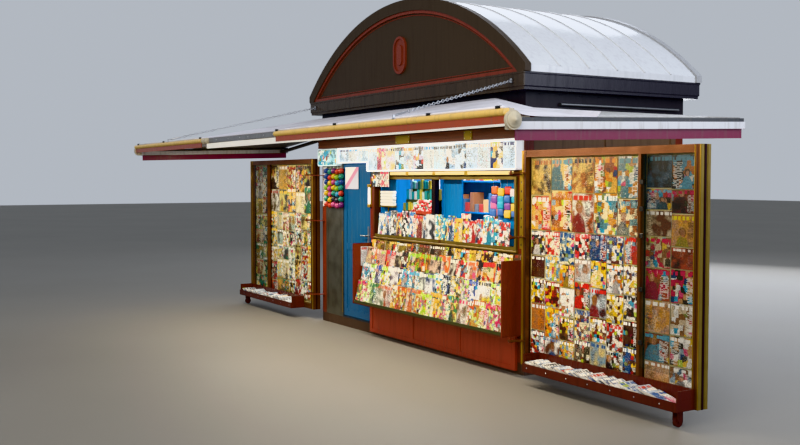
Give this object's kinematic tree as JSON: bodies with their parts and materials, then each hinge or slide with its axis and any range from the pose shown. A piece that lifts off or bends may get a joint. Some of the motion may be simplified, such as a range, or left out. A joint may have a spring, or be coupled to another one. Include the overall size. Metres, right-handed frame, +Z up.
{
  "type": "street kiosk",
  "caption": "Hollow steel newspaper kiosk with barrel roof and arched gables, a counter over stepped display tiers, hinged display wings, a staff door and a projecting fabric canopy.",
  "frame": {"origin": "on the ground at the middle of the cabin's footprint", "axes": "+X along the front to the right of someone who faces it, +Y to the rear, +Z up"},
  "size_m": [8.36, 3.9149, 3.6878],
  "materials": {
    "dark_steel": "satin painted steel, weathered",
    "floor_plate": "worn floor plate",
    "wall_paint": "satin paint over pressed sheet",
    "brown_paint": "satin brown paint",
    "red_brown_paint": "satin red-brown paint",
    "ceiling_board": "matt white paint",
    "cornice_paint": "dark satin paint",
    "vault_sheet": "pale sheet with standing seams",
    "gable_paint": "dark brown satin paint",
    "moulding_paint": "red-brown satin paint",
    "roof_sheet": "grey sheet, dirty",
    "fascia_wood": "varnished boards",
    "light_box": "white lit plastic",
    "brass_profile": "brushed brass",
    "counter_edge": "worn counter board",
    "blue_paint": "glossy blue paint",
    "olive_rail": "anodised olive-gold",
    "white_fabric": "coated canopy fabric",
    "grey_profile": "extruded, lightly soiled",
    "cream_profile": "powder-coated extrusion",
    "bright_steel": "brushed",
    "bronze_profile": "bronze-anodised extrusion",
    "display_board": "cream display board",
    "glass_pane": "clear glass"
  },
  "bodies": {
    "cabin": {"base_frame": "dark_steel", "floor_deck": "floor_plate", "rear_wall": "wall_paint", "side_walls": "wall_paint", "corner_posts": "brown_paint", "counter_wall": "red_brown_paint", "base_panel": "red_brown_paint", "header_wall": "brown_paint", "counter_post": "brown_paint", "steel_column": "dark_steel", "ceiling": "ceiling_board", "roof_band": "dark_steel", "cornice": "cornice_paint", "roof_vault": "vault_sheet", "gables": "gable_paint", "gable_trim": "moulding_paint", "fascia": "fascia_wood", "lit_display": "light_box", "opening_frame": "brass_profile", "counter_board": "counter_edge", "service_panels": "blue_paint", "display_tiers": "brown_paint", "tier_lips": "olive_rail", "tier_cheeks": "brown_paint", "column_header": "light_box", "door_frame": "dark_steel", "canopy_fabric": "white_fabric", "canopy_beam": "grey_profile", "front_bars": "cream_profile", "side_roofs": "roof_sheet", "side_bars": "grey_profile", "canopy_arms": "grey_profile", "canopy_stays": "bright_steel", "lamp_rail": "light_box", "side_cassettes": "grey_profile"},
    "right_wing": {"right_wing_frame": "bronze_profile", "right_wing_board": "display_board", "right_wing_glass": "glass_pane", "right_wing_tray": "brown_paint"},
    "left_wing": {"left_wing_frame": "bronze_profile", "left_wing_board": "display_board", "left_wing_glass": "glass_pane", "left_wing_tray": "brown_paint"},
    "staff_door": {"door_leaf": "blue_paint", "door_handle": "bright_steel"}
  },
  "joints": [
    {"name": "right_wing_hinge", "type": "hinge", "parent": "cabin", "child": "right_wing", "pos_m": [2.1, -1.2, 1.1], "axis": [0, 0, -1], "range_deg": [0, 180]},
    {"name": "left_wing_hinge", "type": "hinge", "parent": "cabin", "child": "left_wing", "pos_m": [-2.1, -1.2, 1.1], "axis": [0, 0, 1], "range_deg": [0, 180]},
    {"name": "staff_door_hinge", "type": "hinge", "parent": "cabin", "child": "staff_door", "pos_m": [-1.471, -0.941, 1], "axis": [0, 0, 1], "range_deg": [0, 90]}
  ]
}
